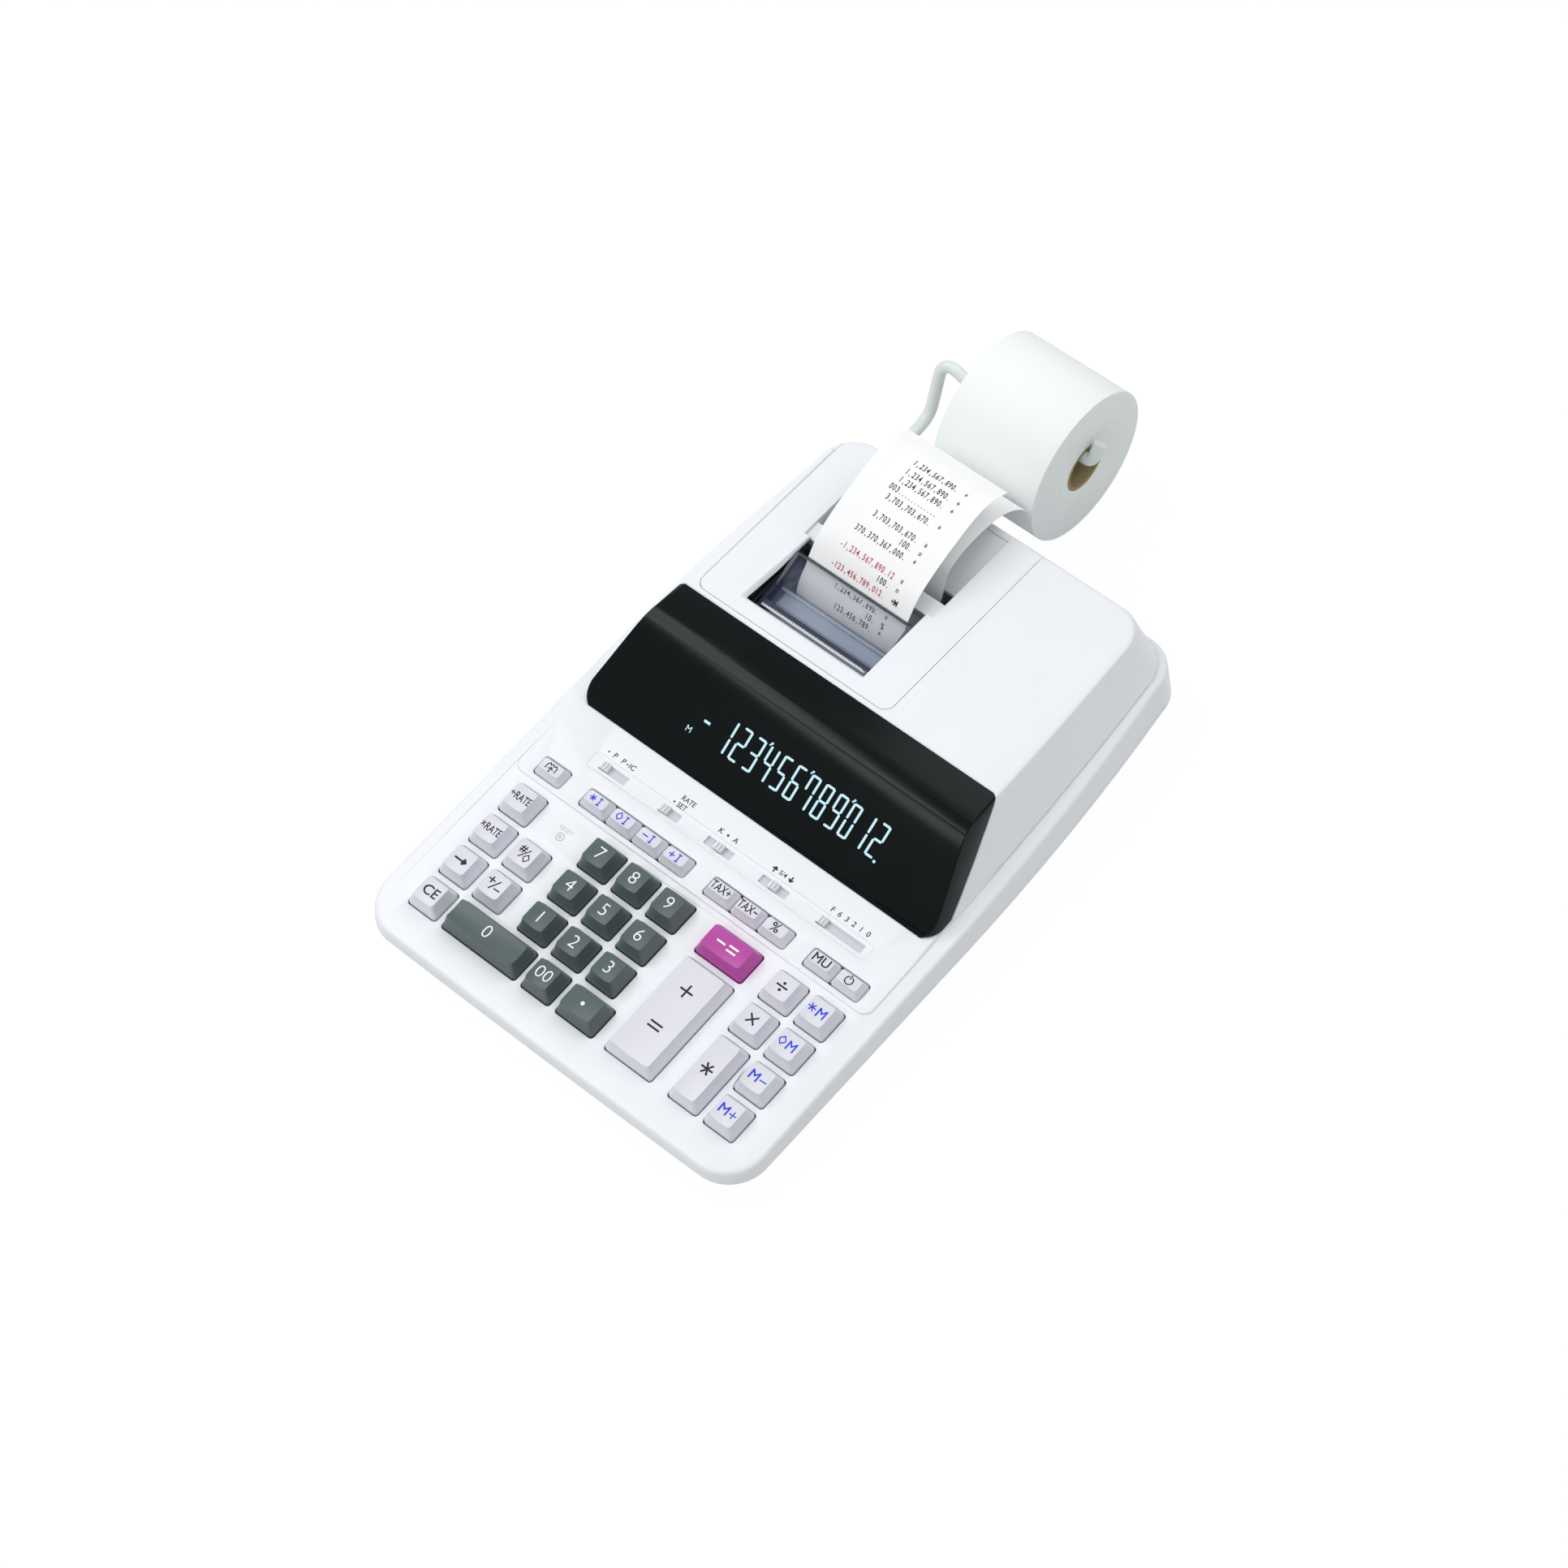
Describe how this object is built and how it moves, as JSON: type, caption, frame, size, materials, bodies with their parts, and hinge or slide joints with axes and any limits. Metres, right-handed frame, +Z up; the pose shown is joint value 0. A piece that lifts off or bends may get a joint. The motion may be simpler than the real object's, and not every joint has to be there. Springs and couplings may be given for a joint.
{
  "type": "desk printing calculator",
  "caption": "Desk calculator with a sloping keyboard, a tinted display window, a tape printer and a paper roll on a bent arm behind it.",
  "frame": {"origin": "middle of the footprint, on the surface the feet stand on", "axes": "+X to the right of the person at the keys, +Y from the front edge to the paper roll, +Z up"},
  "size_m": [0.2216, 0.4089, 0.1],
  "materials": {
    "case_white": "satin",
    "case_grey_white": "satin",
    "key_light": "satin",
    "key_dark": "satin",
    "key_magenta": "satin",
    "window_black": "gloss",
    "cutter_smoke": "gloss",
    "paper": "matt",
    "core_card": "matt",
    "arm_pale": "satin",
    "rubber": "matt",
    "steel": "brushed",
    "black_plastic": "matt",
    "ink_felt": "matt",
    "board": "matt",
    "display_glass": "gloss",
    "switch_white": "satin",
    "key_mat": "matt"
  },
  "bodies": {
    "case": {"lower_case": "case_grey_white", "upper_case": "case_white", "display_window": "window_black", "display_module": "display_glass", "printer_cover": "case_white", "key_mat": "key_mat", "main_board": "board", "printer_chassis": "steel", "paper_tape": "paper", "roll_arm": "arm_pale", "lead_gland": "rubber", "foot_front": "rubber", "foot_rear": "rubber"},
    "paper_supply": {"paper_roll": "paper", "roll_core": "core_card"},
    "platen": {"platen_roller": "black_plastic"},
    "ink": {"ink_roller": "ink_felt"},
    "cutter": {"paper_cutter": "cutter_smoke"},
    "key_clear_entry_body": {"key_clear_entry": "key_light"},
    "key_0_body": {"key_0": "key_dark"},
    "key_00_body": {"key_00": "key_dark"},
    "key_point_body": {"key_point": "key_dark"},
    "key_plus_equals_body": {"key_plus_equals": "key_light"},
    "key_total_body": {"key_total": "key_light"},
    "key_memory_plus_body": {"key_memory_plus": "key_light"},
    "key_backspace_body": {"key_backspace": "key_light"},
    "key_change_sign_body": {"key_change_sign": "key_light"},
    "key_1_body": {"key_1": "key_dark"},
    "key_2_body": {"key_2": "key_dark"},
    "key_3_body": {"key_3": "key_dark"},
    "key_memory_minus_body": {"key_memory_minus": "key_light"},
    "key_rate_multiply_body": {"key_rate_multiply": "key_light"},
    "key_subtotal_body": {"key_subtotal": "key_light"},
    "key_4_body": {"key_4": "key_dark"},
    "key_5_body": {"key_5": "key_dark"},
    "key_6_body": {"key_6": "key_dark"},
    "key_multiply_body": {"key_multiply": "key_light"},
    "key_memory_subtotal_body": {"key_memory_subtotal": "key_light"},
    "key_rate_divide_body": {"key_rate_divide": "key_light"},
    "key_7_body": {"key_7": "key_dark"},
    "key_8_body": {"key_8": "key_dark"},
    "key_9_body": {"key_9": "key_dark"},
    "key_minus_equals_body": {"key_minus_equals": "key_magenta"},
    "key_divide_body": {"key_divide": "key_light"},
    "key_memory_total_body": {"key_memory_total": "key_light"},
    "key_paper_feed_body": {"key_paper_feed": "key_light"},
    "key_item_total_body": {"key_item_total": "key_light"},
    "key_item_subtotal_body": {"key_item_subtotal": "key_light"},
    "key_item_minus_body": {"key_item_minus": "key_light"},
    "key_item_plus_body": {"key_item_plus": "key_light"},
    "key_tax_plus_body": {"key_tax_plus": "key_light"},
    "key_tax_minus_body": {"key_tax_minus": "key_light"},
    "key_percent_body": {"key_percent": "key_light"},
    "key_mark_up_body": {"key_mark_up": "key_light"},
    "key_power_body": {"key_power": "key_light"},
    "switch_print_body": {"switch_print": "switch_white"},
    "switch_rate_set_body": {"switch_rate_set": "switch_white"},
    "switch_constant_body": {"switch_constant": "switch_white"},
    "switch_rounding_body": {"switch_rounding": "switch_white"},
    "switch_decimal_body": {"switch_decimal": "switch_white"}
  },
  "joints": [
    {"name": "key_clear_entry_press", "type": "slide", "parent": "case", "child": "key_clear_entry_body", "axis": [0, 0.0819, -0.9966], "range_m": [0, 0.0028], "stiffness_N_per_m": 200, "springref_m": -0.0015},
    {"name": "key_0_press", "type": "slide", "parent": "case", "child": "key_0_body", "axis": [0, 0.0819, -0.9966], "range_m": [0, 0.0028], "stiffness_N_per_m": 200, "springref_m": -0.0015},
    {"name": "key_00_press", "type": "slide", "parent": "case", "child": "key_00_body", "axis": [0, 0.0819, -0.9966], "range_m": [0, 0.0028], "stiffness_N_per_m": 200, "springref_m": -0.0015},
    {"name": "key_point_press", "type": "slide", "parent": "case", "child": "key_point_body", "axis": [0, 0.0819, -0.9966], "range_m": [0, 0.0028], "stiffness_N_per_m": 200, "springref_m": -0.0015},
    {"name": "key_plus_equals_press", "type": "slide", "parent": "case", "child": "key_plus_equals_body", "axis": [0, 0.0819, -0.9966], "range_m": [0, 0.0028], "stiffness_N_per_m": 200, "springref_m": -0.0015},
    {"name": "key_total_press", "type": "slide", "parent": "case", "child": "key_total_body", "axis": [0, 0.0819, -0.9966], "range_m": [0, 0.0028], "stiffness_N_per_m": 200, "springref_m": -0.0015},
    {"name": "key_memory_plus_press", "type": "slide", "parent": "case", "child": "key_memory_plus_body", "axis": [0, 0.0819, -0.9966], "range_m": [0, 0.0028], "stiffness_N_per_m": 200, "springref_m": -0.0015},
    {"name": "key_backspace_press", "type": "slide", "parent": "case", "child": "key_backspace_body", "axis": [0, 0.0819, -0.9966], "range_m": [0, 0.0028], "stiffness_N_per_m": 200, "springref_m": -0.0015},
    {"name": "key_change_sign_press", "type": "slide", "parent": "case", "child": "key_change_sign_body", "axis": [0, 0.0819, -0.9966], "range_m": [0, 0.0028], "stiffness_N_per_m": 200, "springref_m": -0.0015},
    {"name": "key_1_press", "type": "slide", "parent": "case", "child": "key_1_body", "axis": [0, 0.0819, -0.9966], "range_m": [0, 0.0028], "stiffness_N_per_m": 200, "springref_m": -0.0015},
    {"name": "key_2_press", "type": "slide", "parent": "case", "child": "key_2_body", "axis": [0, 0.0819, -0.9966], "range_m": [0, 0.0028], "stiffness_N_per_m": 200, "springref_m": -0.0015},
    {"name": "key_3_press", "type": "slide", "parent": "case", "child": "key_3_body", "axis": [0, 0.0819, -0.9966], "range_m": [0, 0.0028], "stiffness_N_per_m": 200, "springref_m": -0.0015},
    {"name": "key_memory_minus_press", "type": "slide", "parent": "case", "child": "key_memory_minus_body", "axis": [0, 0.0819, -0.9966], "range_m": [0, 0.0028], "stiffness_N_per_m": 200, "springref_m": -0.0015},
    {"name": "key_rate_multiply_press", "type": "slide", "parent": "case", "child": "key_rate_multiply_body", "axis": [0, 0.0819, -0.9966], "range_m": [0, 0.0028], "stiffness_N_per_m": 200, "springref_m": -0.0015},
    {"name": "key_subtotal_press", "type": "slide", "parent": "case", "child": "key_subtotal_body", "axis": [0, 0.0819, -0.9966], "range_m": [0, 0.0028], "stiffness_N_per_m": 200, "springref_m": -0.0015},
    {"name": "key_4_press", "type": "slide", "parent": "case", "child": "key_4_body", "axis": [0, 0.0819, -0.9966], "range_m": [0, 0.0028], "stiffness_N_per_m": 200, "springref_m": -0.0015},
    {"name": "key_5_press", "type": "slide", "parent": "case", "child": "key_5_body", "axis": [0, 0.0819, -0.9966], "range_m": [0, 0.0028], "stiffness_N_per_m": 200, "springref_m": -0.0015},
    {"name": "key_6_press", "type": "slide", "parent": "case", "child": "key_6_body", "axis": [0, 0.0819, -0.9966], "range_m": [0, 0.0028], "stiffness_N_per_m": 200, "springref_m": -0.0015},
    {"name": "key_multiply_press", "type": "slide", "parent": "case", "child": "key_multiply_body", "axis": [0, 0.0819, -0.9966], "range_m": [0, 0.0028], "stiffness_N_per_m": 200, "springref_m": -0.0015},
    {"name": "key_memory_subtotal_press", "type": "slide", "parent": "case", "child": "key_memory_subtotal_body", "axis": [0, 0.0819, -0.9966], "range_m": [0, 0.0028], "stiffness_N_per_m": 200, "springref_m": -0.0015},
    {"name": "key_rate_divide_press", "type": "slide", "parent": "case", "child": "key_rate_divide_body", "axis": [0, 0.0819, -0.9966], "range_m": [0, 0.0028], "stiffness_N_per_m": 200, "springref_m": -0.0015},
    {"name": "key_7_press", "type": "slide", "parent": "case", "child": "key_7_body", "axis": [0, 0.0819, -0.9966], "range_m": [0, 0.0028], "stiffness_N_per_m": 200, "springref_m": -0.0015},
    {"name": "key_8_press", "type": "slide", "parent": "case", "child": "key_8_body", "axis": [0, 0.0819, -0.9966], "range_m": [0, 0.0028], "stiffness_N_per_m": 200, "springref_m": -0.0015},
    {"name": "key_9_press", "type": "slide", "parent": "case", "child": "key_9_body", "axis": [0, 0.0819, -0.9966], "range_m": [0, 0.0028], "stiffness_N_per_m": 200, "springref_m": -0.0015},
    {"name": "key_minus_equals_press", "type": "slide", "parent": "case", "child": "key_minus_equals_body", "axis": [0, 0.0819, -0.9966], "range_m": [0, 0.0028], "stiffness_N_per_m": 200, "springref_m": -0.0015},
    {"name": "key_divide_press", "type": "slide", "parent": "case", "child": "key_divide_body", "axis": [0, 0.0819, -0.9966], "range_m": [0, 0.0028], "stiffness_N_per_m": 200, "springref_m": -0.0015},
    {"name": "key_memory_total_press", "type": "slide", "parent": "case", "child": "key_memory_total_body", "axis": [0, 0.0819, -0.9966], "range_m": [0, 0.0028], "stiffness_N_per_m": 200, "springref_m": -0.0015},
    {"name": "key_paper_feed_press", "type": "slide", "parent": "case", "child": "key_paper_feed_body", "axis": [0, 0.0819, -0.9966], "range_m": [0, 0.0028], "stiffness_N_per_m": 200, "springref_m": -0.0015},
    {"name": "key_item_total_press", "type": "slide", "parent": "case", "child": "key_item_total_body", "axis": [0, 0.0819, -0.9966], "range_m": [0, 0.0028], "stiffness_N_per_m": 200, "springref_m": -0.0015},
    {"name": "key_item_subtotal_press", "type": "slide", "parent": "case", "child": "key_item_subtotal_body", "axis": [0, 0.0819, -0.9966], "range_m": [0, 0.0028], "stiffness_N_per_m": 200, "springref_m": -0.0015},
    {"name": "key_item_minus_press", "type": "slide", "parent": "case", "child": "key_item_minus_body", "axis": [0, 0.0819, -0.9966], "range_m": [0, 0.0028], "stiffness_N_per_m": 200, "springref_m": -0.0015},
    {"name": "key_item_plus_press", "type": "slide", "parent": "case", "child": "key_item_plus_body", "axis": [0, 0.0819, -0.9966], "range_m": [0, 0.0028], "stiffness_N_per_m": 200, "springref_m": -0.0015},
    {"name": "key_tax_plus_press", "type": "slide", "parent": "case", "child": "key_tax_plus_body", "axis": [0, 0.0819, -0.9966], "range_m": [0, 0.0028], "stiffness_N_per_m": 200, "springref_m": -0.0015},
    {"name": "key_tax_minus_press", "type": "slide", "parent": "case", "child": "key_tax_minus_body", "axis": [0, 0.0819, -0.9966], "range_m": [0, 0.0028], "stiffness_N_per_m": 200, "springref_m": -0.0015},
    {"name": "key_percent_press", "type": "slide", "parent": "case", "child": "key_percent_body", "axis": [0, 0.0819, -0.9966], "range_m": [0, 0.0028], "stiffness_N_per_m": 200, "springref_m": -0.0015},
    {"name": "key_mark_up_press", "type": "slide", "parent": "case", "child": "key_mark_up_body", "axis": [0, 0.0819, -0.9966], "range_m": [0, 0.0028], "stiffness_N_per_m": 200, "springref_m": -0.0015},
    {"name": "key_power_press", "type": "slide", "parent": "case", "child": "key_power_body", "axis": [0, 0.0819, -0.9966], "range_m": [0, 0.0028], "stiffness_N_per_m": 200, "springref_m": -0.0015},
    {"name": "switch_print_slide", "type": "slide", "parent": "case", "child": "switch_print_body", "axis": [1, 0, 0], "range_m": [0, 0.01]},
    {"name": "switch_rate_set_slide", "type": "slide", "parent": "case", "child": "switch_rate_set_body", "axis": [1, 0, 0], "range_m": [0, 0.006]},
    {"name": "switch_constant_slide", "type": "slide", "parent": "case", "child": "switch_constant_body", "axis": [1, 0, 0], "range_m": [-0.005, 0.005]},
    {"name": "switch_rounding_slide", "type": "slide", "parent": "case", "child": "switch_rounding_body", "axis": [1, 0, 0], "range_m": [-0.005, 0.005]},
    {"name": "switch_decimal_slide", "type": "slide", "parent": "case", "child": "switch_decimal_body", "axis": [1, 0, 0], "range_m": [0, 0.02]},
    {"name": "paper_roll_turn", "type": "hinge", "parent": "case", "child": "paper_supply", "pos_m": [-0.0255, 0.16564, 0.05701], "axis": [1, 0, 0], "continuous": true},
    {"name": "platen_turn", "type": "hinge", "parent": "case", "child": "platen", "pos_m": [-0.0267, 0.03853, 0.05309], "axis": [1, 0, 0], "continuous": true},
    {"name": "ink_roller_turn", "type": "hinge", "parent": "case", "child": "ink", "pos_m": [-0.0267, 0.01797, 0.04688], "axis": [1, 0, 0], "continuous": true},
    {"name": "cutter_lift", "type": "hinge", "parent": "case", "child": "cutter", "pos_m": [-0.0267, 0.01185, 0.06153], "axis": [1, 0, 0], "range_deg": [0, 60]}
  ],
  "couplings": [
    {"joint": "platen_turn", "follows": "paper_roll_turn", "ratio": 4.6291}
  ]
}
